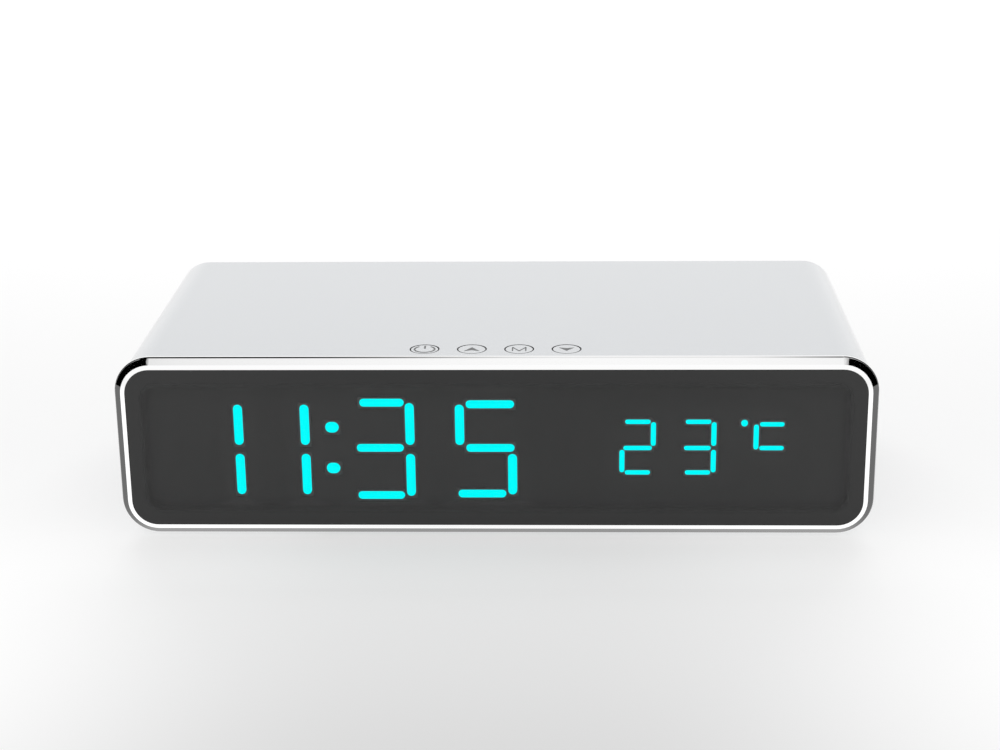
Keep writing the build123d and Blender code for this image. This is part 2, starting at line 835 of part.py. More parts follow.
# Short stiffening ribs on the inside of the rear cover, between the corner posts
def cover_ribs():
    length = inner_width - 2 * (corner_post_size + fit_gap)
    rise = inner_height / 2 - cover_gap - cover_rib_wall / 2
    ribs = Sketch()
    for side in (-1, 1):
        ribs += Pos(0, middle_z + side * rise) * Rectangle(length, cover_rib_wall)
    return ribs


def make_rear_cover_screws():
    seat_y = cover_rear_y - cover_screw["head_height"]
    return screw_group(cover_screw, [facing_rear(x, seat_y, z) for x, z in corner_post_places()])


# Keys: each cap has a flange under the top wall and a stem that pushes its switch
def make_key_cap(place):
    cap = layer(disc(*place, key_radius), flange_top_z, key_top_z)
    cap = fillet(cap.edges().group_by(Axis.Z)[-1], key_edge_round)
    cap += layer(disc(*place, key_flange_radius), flange_bottom_z, flange_top_z)
    return cap + layer(disc(*place, key_stem_radius), plunger_top_z, flange_bottom_z)


def make_switch_plunger(place):
    return layer(disc(*place, plunger_radius), switch_top_z - plunger_inside, plunger_top_z)


def make_switch_bases():
    bases = []
    bore_floor_z = switch_top_z - plunger_inside - key_travel - slide_gap
    for x, y in key_places():
        base = layer(Pos(x, y) * Rectangle(switch_size, switch_size), key_board_top_z, switch_top_z)
        bore = disc(x, y, plunger_radius + slide_gap)
        bases.append(base - layer(bore, bore_floor_z, switch_top_z + overrun))
    return Compound(bases)


def make_key_board():
    outline = Pos(key_row_x, key_y) * Rectangle(key_board_width, key_board_depth)
    board = layer(outline, key_board_bottom_z, key_board_top_z)
    for place in key_post_places():
        hole = disc(*place, small_screw["shank_radius"] + slide_gap)
        board -= layer(hole, key_board_bottom_z - overrun, key_board_top_z + overrun)
    return board


def make_key_board_screws():
    return screw_group(small_screw, [facing_down(x, y, key_board_bottom_z) for x, y in key_post_places()])


# Main board and what stands on it
def make_main_board():
    outline = Pos(main_board_x, main_board_y) * Rectangle(main_board_width, main_board_depth)
    board = layer(outline, main_board_bottom_z, main_board_top_z)
    for place in standoff_places():
        hole = disc(*place, board_screw["shank_radius"] + slide_gap)
        board -= layer(hole, main_board_bottom_z - overrun, main_board_top_z + overrun)
    return board


def make_main_board_screws():
    return screw_group(board_screw, [Pos(x, y, main_board_top_z) for x, y in standoff_places()])


def board_spot(x_share, y_share):
    spot_x = main_board_x + main_board_width / 2 * x_share
    spot_y = main_board_y + main_board_depth / 2 * y_share
    return Pos(spot_x, spot_y, main_board_top_z)


controller_share = (-0.05, 0.05)
radio_share = (0.42, 0.2)
capacitor_share = (0.55, 0.72)
choke_share = (0.7, 0.38)
buzzer_share = (-0.72, 0.45)
crystal_share = (-0.05, 0.3)


def make_controller_chips():
    spots = (controller_share, radio_share)
    return Compound([board_spot(*share) * make_chip() for share in spots])


def make_capacitors():
    cans = []
    for index in range(capacitor_count):
        can = layer(Circle(capacitor_radius), 0, capacitor_height)
        can = fillet(can.edges().group_by(Axis.Z)[-1], capacitor_base / 2)
        base = Rectangle(2 * capacitor_radius, 2 * capacitor_radius)
        can += layer(base, 0, capacitor_base)
        cans.append(board_spot(*capacitor_share) * Pos(-index * capacitor_pitch, 0, 0) * can)
    return Compound(cans)


def make_power_choke():
    square = RectangleRounded(2 * coil_choke_radius, 2 * coil_choke_radius, coil_choke_radius / 2)
    return board_spot(*choke_share) * layer(square, 0, coil_choke_height)


def make_buzzer():
    body = layer(Circle(buzzer_radius), 0, buzzer_height)
    body -= layer(Circle(buzzer_hole_radius), buzzer_height - buzzer_hole_depth, buzzer_height + overrun)
    return board_spot(*buzzer_share) * body


def make_clock_crystal():
    can = Pos(0, 0, crystal_radius) * Rot(0, 90, 0) * Cylinder(crystal_radius, crystal_length)
    return board_spot(*crystal_share) * can


def display_header_place():
    return Pos(display_cable_x, main_board_front_y + header_height, main_board_top_z)


def key_header_y():
    return main_board_front_y + header_depth


def make_board_headers():
    lying = Pos(0, 0, header_depth / 2) * Rot(90, 0, 0) * make_header(display_cable_width)
    standing = make_header(key_cable_width)
    coil_header = make_lead_header()
    return Compound(
        [
            display_header_place() * lying,
            Pos(key_cable_x, key_header_y(), main_board_top_z) * standing,
            Pos(coil_header_x(), coil_y, main_board_top_z) * coil_header,
        ]
    )


def coil_header_x():
    return coil_radius + coil_lead_reach


# Header of the coil's leads, with a socket for each lead on top
def make_lead_header():
    body = layer(Rectangle(header_depth, header_width), 0, header_height)
    for side in (-1, 1):
        socket = disc(0, side * coil_lead_spacing / 2, coil_lead_radius + press_gap)
        body -= layer(socket, header_height - header_slot_depth, header_height + overrun)
    return body


def make_power_inlet():
    mouth_y = cover_rear_y - fit_gap
    shell = slab(inlet_outline(0), mouth_y - inlet_length, mouth_y)
    return shell - slab(inlet_outline(-inlet_wall), mouth_y - inlet_length + inlet_back, mouth_y + overrun)


def make_inlet_tongue():
    mouth_y = cover_rear_y - fit_gap
    root_y = mouth_y - inlet_length + inlet_back
    place = Pos(inlet_x, main_board_top_z + inlet_height / 2)
    outline = place * Rectangle(inlet_tongue_width, inlet_tongue_thickness)
    return slab(outline, root_y, root_y + inlet_tongue_length)


# Temperature sensor: a bead on two leads beside the vents
def make_temperature_sensor():
    sensor_y = main_board_rear_y - sensor_setback
    bead_z = main_board_top_z + sensor_height
    sensor_x = main_board_left_x + sensor_inset
    body = Pos(sensor_x, sensor_y, bead_z) * Sphere(sensor_radius)
    for side in (-1, 1):
        lead = disc(sensor_x + side * sensor_lead_spacing / 2, sensor_y, sensor_lead_radius)
        body += layer(lead, main_board_top_z, bead_z)
    return body


# Coin cell, its holder, contacts and leads, and the turning cover under them
def hatch_disc(radius):
    return disc(hatch_x, hatch_y, radius)


def make_cell_holder():
    body = layer(hatch_disc(holder_radius), floor_z, holder_top_z)
    body -= layer(hatch_disc(holder_lower_bore), floor_z - overrun, holder_bore_bottom_z)
    body -= layer(hatch_disc(cell_radius + fit_gap), floor_z, contact_top_z)
    return body - contact_slots()


def contact_strip(grow, level_z, side_y):
    reach = holder_radius + contact_reach
    strip = Pos(reach / 2, side_y) * Rectangle(reach, contact_width + 2 * grow)
    return layer(Pos(hatch_x, hatch_y) * strip, level_z - contact_thickness - grow, level_z + grow)


def side_strip(grow):
    reach = holder_radius + contact_reach - cell_radius
    strip_x = cell_radius + reach / 2
    strip = Pos(strip_x, -cell_radius / 2) * Rectangle(reach, contact_width + 2 * grow)
    low_z = cell_bottom_z + cell_height / 2 - contact_thickness / 2
    level = layer(Pos(hatch_x, hatch_y) * strip, low_z - grow, low_z + contact_thickness + grow)
    return level


def contact_slots():
    return contact_strip(press_gap, contact_top_z, 0) + side_strip(press_gap)


def make_cell_contacts():
    return Compound([contact_strip(0, contact_top_z, 0), side_strip(0)])


def make_coin_cell():
    step_z = cell_bottom_z + cell_step_height
    cell = layer(hatch_disc(cell_radius), step_z, cell_top_z)
    return cell + layer(hatch_disc(cell_radius - cell_step_inset), cell_bottom_z, step_z)


def make_battery_cover():
    cover_bottom_z = case_bottom_z + hatch_cover_recess
    cover = layer(hatch_disc(hatch_radius - slide_gap), cover_bottom_z, bayonet_top_z)
    lug_reach = hatch_radius + bayonet_reach
    lugs = Sketch()
    for index in range(bayonet_count):
        lug = Pos(lug_reach / 2, 0) * Rectangle(lug_reach, bayonet_width)
        lugs += Rot(0, 0, index * 360 / bayonet_count) * lug
    lugs &= Circle(lug_reach)
    cover += layer(Pos(hatch_x, hatch_y) * lugs, bayonet_bottom_z, bayonet_top_z)
    hollow_z = cover_bottom_z + hatch_cover_thickness
    cover -= layer(hatch_disc(hatch_radius - hatch_cover_thickness), hollow_z, bayonet_top_z + overrun)
    cover += layer(hatch_disc(pad_radius), hollow_z - overrun / 2, cell_bottom_z - loose_gap)
    slot = Pos(hatch_x, hatch_y) * SlotOverall(coin_slot_length, coin_slot_width)
    return cover - layer(slot, cover_bottom_z - overrun, cover_bottom_z + coin_slot_depth)


# Round lead along straight runs joined by arcs
def round_lead(points, radius, bend):
    path = FilletPolyline(*points, radius=bend)
    section = Plane(path @ 0, z_dir=path % 0) * Circle(radius)
    return sweep(section, path=path)


# Charging coil, its ferrite, tray, screws and leads
def make_charging_coil():
    ring = disc(0, coil_y, coil_radius) - disc(0, coil_y, coil_bore_radius)
    return layer(ring, coil_bottom_z, coil_top_z)


def make_coil_ferrite():
    plate = Pos(0, coil_y) * RectangleRounded(ferrite_size, ferrite_size, tray_corner)
    return layer(plate & tray_post_clearance(), ferrite_bottom_z, coil_bottom_z)


def tray_post_clearance():
    clear = Pos(0, coil_y) * Rectangle(tray_size, tray_size)
    for place in tray_post_places():
        clear -= disc(*place, tray_post_radius + fit_gap)
    return clear


def make_coil_tray():
    plate = Pos(0, coil_y) * RectangleRounded(tray_size, tray_size, tray_corner)
    tray = layer(plate, tray_bottom_z, ferrite_bottom_z)
    for place in tray_post_places():
        hole = disc(*place, tray_screw["shank_radius"] + slide_gap)
        tray -= layer(hole, tray_bottom_z - overrun, ferrite_bottom_z + overrun)
    return tray


def make_coil_screws():
    return screw_group(tray_screw, [facing_down(x, y, tray_bottom_z) for x, y in tray_post_places()])


def make_coil_leads():
    lead_z = coil_bottom_z + coil_thickness / 2
    end_z = main_board_top_z + header_height - header_slot_depth
    leads = []
    for side in (-1, 1):
        lead_y = coil_y + side * coil_lead_spacing / 2
        bend_point = (coil_header_x(), lead_y, lead_z)
        points = ((coil_radius, lead_y, lead_z), bend_point, (coil_header_x(), lead_y, end_z))
        leads.append(round_lead(points, coil_lead_radius, coil_lead_bend))
    return Compound(leads)


# Leads from the cell's contacts down to the main board's edge
def make_cell_leads():
    start_x = hatch_x + holder_radius + contact_reach
    end_x = main_board_left_x
    leads = []
    for strip_y, level_z in (
        (hatch_y, contact_top_z - contact_thickness / 2),
        (hatch_y - cell_radius / 2, cell_bottom_z + cell_height / 2),
    ):
        middle_x = (start_x + end_x) / 2
        board_z = main_board_bottom_z + main_board_thickness / 2
        points = (
            (start_x, strip_y, level_z),
            (middle_x, strip_y, level_z),
            (middle_x, strip_y - cell_lead_bend, board_z),
            (end_x, strip_y - cell_lead_bend, board_z),
        )
        leads.append(round_lead(points, cell_lead_radius, cell_lead_radius * 2))
    return Compound(leads)


# Flat cables lie in a plane across the clock
def flat_cable(points, centre_x, width):
    path = FilletPolyline(*points, radius=cable_bend)
    strip = trace(path, line_width=cable_thickness)
    return extrude(Plane.YZ.offset(centre_x - width / 2) * strip, amount=width)


def display_plug_z():
    return middle_z - time_lower_drop / 2


def make_display_plug():
    outline = Pos(display_cable_x, display_plug_z()) * Rectangle(header_width, board_plug_height)
    plug = slab(outline, display_board_rear_y, display_board_rear_y + board_plug_depth)
    slot_height = cable_thickness + 2 * press_gap
    slot = Pos(display_cable_x, display_plug_z()) * Rectangle(display_cable_width + 2 * press_gap, slot_height)
    slot_floor_y = display_board_rear_y + board_plug_depth - header_slot_depth
    return plug - slab(slot, slot_floor_y, display_board_rear_y + board_plug_depth + overrun)


def make_display_cable():
    start_y = display_board_rear_y + board_plug_depth - header_slot_depth
    end_y = main_board_front_y + header_slot_depth
    end_z = main_board_top_z + header_depth / 2
    first_bend_y = display_board_rear_y + board_plug_depth + cable_bend
    second_bend_y = main_board_front_y - cable_bend
    points = (
        (start_y, display_plug_z()),
        (first_bend_y, display_plug_z()),
        (second_bend_y, end_z),
        (end_y, end_z),
    )
    return flat_cable(points, display_cable_x, display_cable_width)


def key_plug_z():
    return key_board_bottom_z - board_plug_height / 2


def make_key_plug():
    rear_edge_y = key_y + key_board_depth / 2
    outline = Pos(key_cable_x, rear_edge_y - board_plug_depth / 2) * Rectangle(header_width, board_plug_depth)
    plug = layer(outline, key_board_bottom_z - board_plug_height, key_board_bottom_z)
    slot_width = key_cable_width + 2 * press_gap
    slot = Pos(key_cable_x, key_plug_z()) * Rectangle(slot_width, cable_thickness + 2 * press_gap)
    return plug - slab(slot, rear_edge_y - header_slot_depth, rear_edge_y + overrun)


def make_key_cable():
    start_y = key_y + key_board_depth / 2 - header_slot_depth
    end_z = main_board_top_z + header_height - header_slot_depth
    points = ((start_y, key_plug_z()), (key_header_y(), key_plug_z()), (key_header_y(), end_z))
    return flat_cable(points, key_cable_x, key_cable_width)


def make_rubber_feet():
    feet = []
    for place in foot_places():
        foot = layer(disc(*place, foot_radius), 0, case_bottom_z + foot_pocket_depth)
        feet.append(fillet(foot.edges().group_by(Axis.Z)[0], foot_edge_round))
    return Compound(feet)


pieces = {
    "housing_sleeve": make_housing_sleeve(),
    "front_bezel": make_front_bezel(),
    "front_lens": make_front_lens(),
    "lens_tape": make_lens_tape(),
    "light_block": make_light_block(),
    "time_segments": make_segment_group("time"),
    "temperature_segments": make_segment_group("temperature"),
    "dark_segments": make_segment_group("dark"),
    "display_screws": make_display_screws(),
    "display_board": make_display_board(),
    "display_board_screws": make_display_board_screws(),
    "segment_lamps": make_segment_lamps(),
    "display_drivers": make_display_drivers(),
    "display_plug": make_display_plug(),
    "display_cable": make_display_cable(),
    "switch_bases": make_switch_bases(),
    "key_board": make_key_board(),
    "key_board_screws": make_key_board_screws(),
    "key_plug": make_key_plug(),
    "key_cable": make_key_cable(),
    "main_board": make_main_board(),
    "main_board_screws": make_main_board_screws(),
    "controller_chips": make_controller_chips(),
    "capacitors": make_capacitors(),
    "power_choke": make_power_choke(),
    "buzzer": make_buzzer(),
    "clock_crystal": make_clock_crystal(),
    "board_headers": make_board_headers(),
    "power_inlet": make_power_inlet(),
    "inlet_tongue": make_inlet_tongue(),
    "temperature_sensor": make_temperature_sensor(),
    "cell_holder": make_cell_holder(),
    "cell_contacts": make_cell_contacts(),
    "coin_cell": make_coin_cell(),
    "cell_leads": make_cell_leads(),
    "battery_cover": make_battery_cover(),
    "charging_coil": make_charging_coil(),
    "coil_ferrite": make_coil_ferrite(),
    "coil_tray": make_coil_tray(),
    "coil_screws": make_coil_screws(),
    "coil_leads": make_coil_leads(),
    "rear_cover": make_rear_cover(),
    "rear_cover_screws": make_rear_cover_screws(),
    "rubber_feet": make_rubber_feet(),
}
for name, place in zip(("power", "up", "mode", "down"), key_places()):
    pieces["key_cap_" + name] = make_key_cap(place)
    pieces["switch_plunger_" + name] = make_switch_plunger(place)

for name, shape in pieces.items():
    export_step(shape, "parts/" + name + ".step")
print(len(pieces), "nodes written")
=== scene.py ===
import bpy
import bmesh
import json
import math
from mathutils import Matrix, Vector


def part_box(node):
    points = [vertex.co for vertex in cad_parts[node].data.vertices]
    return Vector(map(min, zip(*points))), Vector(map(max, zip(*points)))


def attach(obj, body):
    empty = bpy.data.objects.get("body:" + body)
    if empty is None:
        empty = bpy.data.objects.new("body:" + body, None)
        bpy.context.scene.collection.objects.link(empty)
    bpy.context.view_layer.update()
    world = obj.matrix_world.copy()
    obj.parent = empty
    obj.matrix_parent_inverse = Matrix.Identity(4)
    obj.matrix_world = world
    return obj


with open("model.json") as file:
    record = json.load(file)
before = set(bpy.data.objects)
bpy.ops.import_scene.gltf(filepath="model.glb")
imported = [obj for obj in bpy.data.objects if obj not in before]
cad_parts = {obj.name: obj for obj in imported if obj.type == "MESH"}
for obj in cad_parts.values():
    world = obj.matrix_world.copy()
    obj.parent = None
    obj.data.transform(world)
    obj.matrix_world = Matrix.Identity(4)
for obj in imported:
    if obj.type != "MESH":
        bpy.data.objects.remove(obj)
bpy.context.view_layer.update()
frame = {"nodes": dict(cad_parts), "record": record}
nodes = frame["nodes"]
mm = 0.001
weld = 0.001 * mm  # points closer than this become one
white = (1, 1, 1)
black = (0, 0, 0)
keyNames = ("power", "up", "mode", "down")
print("frame loaded,", len(nodes), "nodes")


def placed(name, data):  # a new object in the scene
    made = bpy.data.objects.new(name, data)
    bpy.context.scene.collection.objects.link(made)
    return made


# camera, set to the photograph's own viewpoint: millimetres and degrees

cameraView = {
    "place": (18.737, -542.175, 213.17),
    "yaw": 1.996,
    "down": 18.658,
    "roll": -0.681,
    "lens": 72.233,
    "sensor": 36,
}


def makeCamera():
    data = bpy.data.cameras.new("photo_camera")
    data.sensor_width = cameraView["sensor"]
    data.lens = cameraView["lens"]
    camera = placed("photo_camera", data)
    turns = (("yaw", "Z", 0, 1), ("down", "X", 90, -1), ("roll", "Z", 0, 1))  # axis, start and sign
    pose = Matrix.Translation(Vector(cameraView["place"]) * mm)
    for name, axis, start, sign in turns:
        pose = pose @ Matrix.Rotation(math.radians(start + sign * cameraView[name]), 4, axis)
    camera.matrix_world = pose
    bpy.context.scene.camera = camera


makeCamera()
print("camera set")


# shader maths: a Wire wraps a socket, a Finish is a material and its nodes


class Wire:
    def __init__(self, finish, socket):
        self.finish = finish
        self.socket = socket

    def math(self, operation, *others):
        return self.finish.node("ShaderNodeMath", {"operation": operation}, dict(enumerate((self,) + others)))

    def flipped(self, operation, other):
        return self.finish.node("ShaderNodeMath", {"operation": operation}, {0: other, 1: self})

    def __add__(self, other):
        return self.math("ADD", other)

    def __radd__(self, other):
        return self.flipped("ADD", other)

    def __sub__(self, other):
        return self.math("SUBTRACT", other)

    def __rsub__(self, other):
        return self.flipped("SUBTRACT", other)

    def __mul__(self, other):
        return self.math("MULTIPLY", other)

    def __rmul__(self, other):
        return self.flipped("MULTIPLY", other)

    def __truediv__(self, other):
        return self.math("DIVIDE", other)

    def __rtruediv__(self, other):
        return self.flipped("DIVIDE", other)

    def __pow__(self, other):
        return self.math("POWER", other)

    def __abs__(self):
        return self.math("ABSOLUTE")

    def __gt__(self, other):
        return self.math("GREATER_THAN", other)

    def __lt__(self, other):
        return self.math("LESS_THAN", other)

    def wave(self):
        return self.math("SINE")

    def largest(self, other):
        return self.math("MAXIMUM", other)

    def smallest(self, other):
        return self.math("MINIMUM", other)

    def centred(self):  # noise runs from 0 to 1, this from -0.5 to 0.5
        return self - 0.5

    def blended(self, first, second):  # first at 0, second at 1
        return (second - first) * self + first

    def ramped(self, low, high):  # 0 at low, 1 at high, smooth between
        limits = {"Value": self, "From Min": low, "From Max": high}
        return self.finish.node("ShaderNodeMapRange", {"interpolation_type": "SMOOTHSTEP"}, limits)


class Finish:
    def __init__(self, name, world=None):
        self.holder = world or bpy.data.materials.new(name)
        self.holder.use_nodes = True
        self.tree = self.holder.node_tree
        self.tree.nodes.clear()
        self.places = None

    def node(self, kind, settings=None, values=None, output=0):
        made = self.tree.nodes.new(kind)
        for key, value in (settings or {}).items():
            setattr(made, key, value)
        for key, value in (values or {}).items():
            if isinstance(value, Wire):
                self.tree.links.new(value.socket, made.inputs[key])
            elif isinstance(value, tuple) and made.inputs[key].type == "RGBA":
                made.inputs[key].default_value = (*value, 1)
            else:
                made.inputs[key].default_value = value
        return Wire(self, made.outputs[output])

    def point(self):  # place on the object in millimetres, as a vector
        if self.places is None:
            where = self.node("ShaderNodeTexCoord", output="Object")
            self.places = self.vector("MULTIPLY", where, (1 / mm, 1 / mm, 1 / mm))
        return self.places

    def along(self, axis, vector=None):
        return self.node("ShaderNodeSeparateXYZ", None, {0: vector or self.point()}, "XYZ".index(axis))

    def facing(self, axis):  # the surface's own direction on the object
        return self.along(axis, self.node("ShaderNodeTexCoord", output="Normal"))

    def vector(self, operation, *values, output=0):
        return self.node("ShaderNodeVectorMath", {"operation": operation}, dict(enumerate(values)), output)

    def noise(self, size, detail=2.0, stretch=None):
        where = self.vector("MULTIPLY", self.point(), stretch) if stretch else self.point()
        return self.node("ShaderNodeTexNoise", None, {"Vector": where, "Scale": 1 / size, "Detail": detail})

    def cells(self, size, feature="F1"):
        settings = {"feature": feature}
        return self.node("ShaderNodeTexVoronoi", settings, {"Vector": self.point(), "Scale": 1 / size})

    def blend(self, share, first, second):  # a Mix node's colours are its inputs 6 and 7 and its output 2
        return self.node("ShaderNodeMix", {"data_type": "RGBA"}, {0: share, 6: first, 7: second}, 2)

    def tinted(self, colour, share, spread):  # colour with a share of lighter and darker patches
        dark = tuple(c * (1 - spread) for c in colour)
        light = tuple(min(1, c * (1 + spread)) for c in colour)
        return self.blend(share, dark, light)

    def bump(self, height, depth, strength, below=None):  # depth in millimetres
        values = {"Height": height, "Distance": depth * mm, "Strength": strength}
        if below:
            values["Normal"] = below
        return self.node("ShaderNodeBump", None, values)

    def surface(self, **values):
        named = {key.replace("_", " "): value for key, value in values.items()}
        return self.shown(self.node("ShaderNodeBsdfPrincipled", None, named))

    def shown(self, shader):
        kind = "World" if isinstance(self.holder, bpy.types.World) else "Material"
        last = self.tree.nodes.new("ShaderNodeOutput" + kind)
        self.tree.links.new(shader.socket, last.inputs["Surface"])
        return self.holder


# places that the finishes are laid out from


def middleOf(node):  # the middle of a node's box, in millimetres
    low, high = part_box(node)
    return (low + high) / 2 / mm


def fromAxis(finish, middle):  # distance from the upright line through a place
    x = finish.along("X") - middle.x
    y = finish.along("Y") - middle.y
    return (x * x + y * y).math("SQRT")


def nearestOf(distances):
    nearest = distances[0]
    for distance in distances[1:]:
        nearest = nearest.smallest(distance)
    return nearest


# silver lacquer of the sleeve and the key caps, with painted shade in the gap round each key

# Here and in the finishes below, size is that of a pattern in millimetres, detail its finer levels, spread
# how far it changes the colour, share its part in that, rough how far it changes the roughness, and relief
# its depth in millimetres and its strength.

lacquer = {
    "colour": (0.611, 0.63, 0.651),
    "spread": 0.025,
    "metal": 0.95,
    "rough": 0.26,
    "flakes": {"size": 0.12, "detail": 1.0, "share": 0.7, "rough": 0.06, "relief": (0.0015, 0.3)},
    "clouds": {"size": 24.0, "share": 0.3, "rough": 0.03},
    "peel": {"size": 0.9, "relief": (0.004, 0.25)},
    "coat": 1.0,
    "coatRough": 0.06,
    "rim": (0.02, 0.02, 0.022),
    "ring": (3.57, 3.97),  # painted shade in the gap round each key, on the cap's edge and on the wall of its hole
    "ringDepth": (0.03, 4.0),  # from this to this far below the sleeve's top
}


def makeLacquer(name):
    finish = Finish(name)
    flake, cloud, peel = lacquer["flakes"], lacquer["clouds"], lacquer["peel"]
    flakes = finish.noise(flake["size"], flake["detail"])
    clouds = finish.noise(cloud["size"])
    patches = flakes * flake["share"] + clouds * cloud["share"]
    silver = finish.tinted(lacquer["colour"], patches, lacquer["spread"])
    glint = finish.bump(flakes, *flake["relief"])
    return finish.surface(
        Base_Color=finish.blend(keyGapShade(finish), silver, lacquer["rim"]),
        Metallic=lacquer["metal"],
        Roughness=lacquer["rough"] + flakes.centred() * flake["rough"] + clouds.centred() * cloud["rough"],
        Normal=finish.bump(finish.noise(peel["size"]), *peel["relief"], glint),
        Coat_Weight=lacquer["coat"],
        Coat_Roughness=lacquer["coatRough"],
    )


# painted shade: a dark ring where the gap round each key lies in shade
def keyGapShade(finish):
    away = nearestOf([fromAxis(finish, middleOf("key_cap_" + name)) for name in keyNames])
    start, end = lacquer["ring"]
    shallow, deep = lacquer["ringDepth"]
    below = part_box("housing_sleeve")[1].z / mm - finish.along("Z")
    return (away > start) * (away < end) * (below > shallow) * (below < deep)


# polished bezel: a bright ring at the front, then a bevel whose colour is painted reflection of the room,
# lighter where it faces up, darker where it faces down and sideways, and black at its upper corners

chrome = {
    "ring": (0.98, 0.98, 0.98),
    # top, bottom and side: painted reflection in the bevel, picked by which way its surface faces
    "top": (0.80, 0.80, 0.80),
    "bottom": (0.28, 0.28, 0.28),
    "side": (0.13, 0.13, 0.13),
    "ringDepth": 0.36,  # where the ring ends, in millimetres behind the front
    "edgeDepth": 1.7,
    "bevelDepth": 2.05,
    "levelLean": 0.1,  # how far the surface leans, from 0 to 1
    "cornerLean": 0.06,
    "sideLean": 0.62,
    "rough": 0.035,
    "marks": {"size": 0.5, "detail": 3.0, "stretch": (0.12, 1.0, 1.0), "rough": 0.02},
    "waves": {"size": 3.0, "relief": (0.001, 0.08)},
}


def makeChrome(name):
    finish = Finish(name)
    depth = finish.along("Y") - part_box("front_bezel")[0].y / mm
    aside, upward = abs(finish.facing("X")), finish.facing("Z")
    # painted reflection: the bevel is coloured lighter facing up and darker facing down and sideways
    level = upward.ramped(-chrome["levelLean"], chrome["levelLean"])
    paintedReflection = finish.blend(level, chrome["bottom"], chrome["top"])
    paintedReflection = finish.blend(aside.ramped(0.0, chrome["sideLean"]), paintedReflection, chrome["side"])
    # painted reflection: the edge flat is black at the bevel's upper corners
    edge = (depth > chrome["edgeDepth"]) * (depth < chrome["bevelDepth"])
    corner = (aside > chrome["cornerLean"]) * (upward > chrome["cornerLean"])
    paintedReflection = finish.blend(edge * corner, paintedReflection, black)
    bevel = (depth > chrome["ringDepth"]) * (depth < chrome["bevelDepth"])
    mark, wave = chrome["marks"], chrome["waves"]
    marks = finish.noise(mark["size"], mark["detail"], mark["stretch"])
    return finish.surface(
        Base_Color=finish.blend(bevel, chrome["ring"], paintedReflection),
        Metallic=1.0,
        Roughness=chrome["rough"] + marks * mark["rough"],
        Normal=finish.bump(finish.noise(wave["size"]), *wave["relief"]),
    )


# lens: smoke on the front, clear over the lit segments, and a dark print on the back that they shine past;
# the print is painted lighter where the smoke in front shades it

lens = {
    "smoke": 0.058,
    "print": 0.069,
    "cover": 0.06,  # what the clear places keep of both
    "rough": 0.05,
    "specular": 0.12,
    "haze": {"size": 30.0, "spread": 0.03, "rough": 0.015},
    "clearing": (0.8, 7.0),  # from this to this distance from a segment the smoke thickens, in millimetres,
    "filling": 0.3,  # to this share of its full thickness
    "border": (1.7, 5.4),  # along the border it is thick, counted outwards from this inset
    "inset": 8.25,
    "wider": 1.5,  # the print is lit through a stretch of smoke that is wider by this each way
    "thickest": 0.88,  # past this the print gets no brighter
    "window": (0.5, 0.8),  # where the print starts, counted from a segment
    "deep": 100.0,  # more than the clock's depth, which isn't counted
}


def bodyBoxes(name):  # the middle and half size of each separate body of a node, in millimetres
    mesh = bmesh.new()
    mesh.from_mesh(nodes[name].data)
    bmesh.ops.remove_doubles(mesh, verts=mesh.verts, dist=weld)
    waiting = set(mesh.verts)
    boxes = []
    while waiting:
        body = [waiting.pop()]
        for vertex in body:
            for edge in vertex.link_edges:
                other = edge.other_vert(vertex)
                if other in waiting:
                    waiting.remove(other)
                    body.append(other)
        places = [nodes[name].matrix_world @ vertex.co / mm for vertex in body]
        low, high = (Vector([choose(p[i] for p in places) for i in range(3)]) for choose in (min, max))
        boxes.append(((low + high) / 2, (high - low) / 2))
    mesh.free()
    return boxes


def awayFrom(finish, middle, half):  # distance to a box, seen from the front
    offset = finish.vector("SUBTRACT", finish.point(), tuple(middle))
    beyond = finish.vector("SUBTRACT", finish.vector("ABSOLUTE", offset), (half.x, lens["deep"], half.z))
    return finish.vector("LENGTH", finish.vector("MAXIMUM", beyond, (0, 0, 0)), output="Value")


def covered(thickness):  # the share that is seen of a coat, from its thickness between 0 and 1
    return thickness * (1 - lens["cover"]) + lens["cover"]


def smokeOver(away, outward, wider):
    clearing = away.ramped(lens["clearing"][0] - wider, lens["clearing"][1] + wider)
    border = outward.ramped(lens["border"][0] - wider, lens["border"][1] + wider)
    return covered((clearing * lens["filling"]).largest(border))


def makeLens(name):
    finish = Finish(name)
    segments = bodyBoxes("time_segments") + bodyBoxes("temperature_segments")
    away = nearestOf([awayFrom(finish, middle, half) for middle, half in segments])
    low, high = (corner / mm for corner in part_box("front_lens"))
    middle = (low + high) / 2
    outward = awayFrom(finish, middle, high - middle - Vector((1, 1, 1)) * lens["inset"])
    smoke = smokeOver(away, outward, 0.0)
    shade = smokeOver(away, outward, lens["wider"]).smallest(lens["thickest"])
    # painted light: the print is made lighter by as much as the smoke in front of it shades it
    printWithPaintedLight = (lens["print"] * (1 - lens["cover"])) / (1.0 - shade)
    behind = finish.along("Y") > middle.y
    cloud = lens["haze"]
    haze = finish.noise(cloud["size"])
    grey = behind.blended(lens["smoke"], printWithPaintedLight) * (1.0 + haze.centred() * cloud["spread"])
    return finish.surface(
        Base_Color=finish.blend(grey, black, white),
        Roughness=lens["rough"] + haze * cloud["rough"],
        Alpha=behind.blended(smoke, covered(away.ramped(*lens["window"]))),
        Specular_IOR_Level=lens["specular"],
    )


# lit segments

lit = {
    "colour": (0.0, 0.12, 0.12),
    "glow": ((0.0, 0.97, 1.0), (0.0, 1.0, 1.0)),
    "strength": 1.05,
    "rough": 0.4,
    "milk": {"size": 0.8, "spread": 0.05, "rough": 0.1},
}


def makeLit(name):
    finish = Finish(name)
    cloud = lit["milk"]
    milk = finish.noise(cloud["size"])
    return finish.surface(
        Base_Color=finish.tinted(lit["colour"], milk, cloud["spread"]),
        Roughness=lit["rough"] + milk * cloud["rough"],
        Emission_Color=finish.blend(milk, *lit["glow"]),
        Emission_Strength=lit["strength"],
        Specular_IOR_Level=0.0,
    )


# moulded plastics and rubber: colour, roughness, grain size and grain depth in millimetres

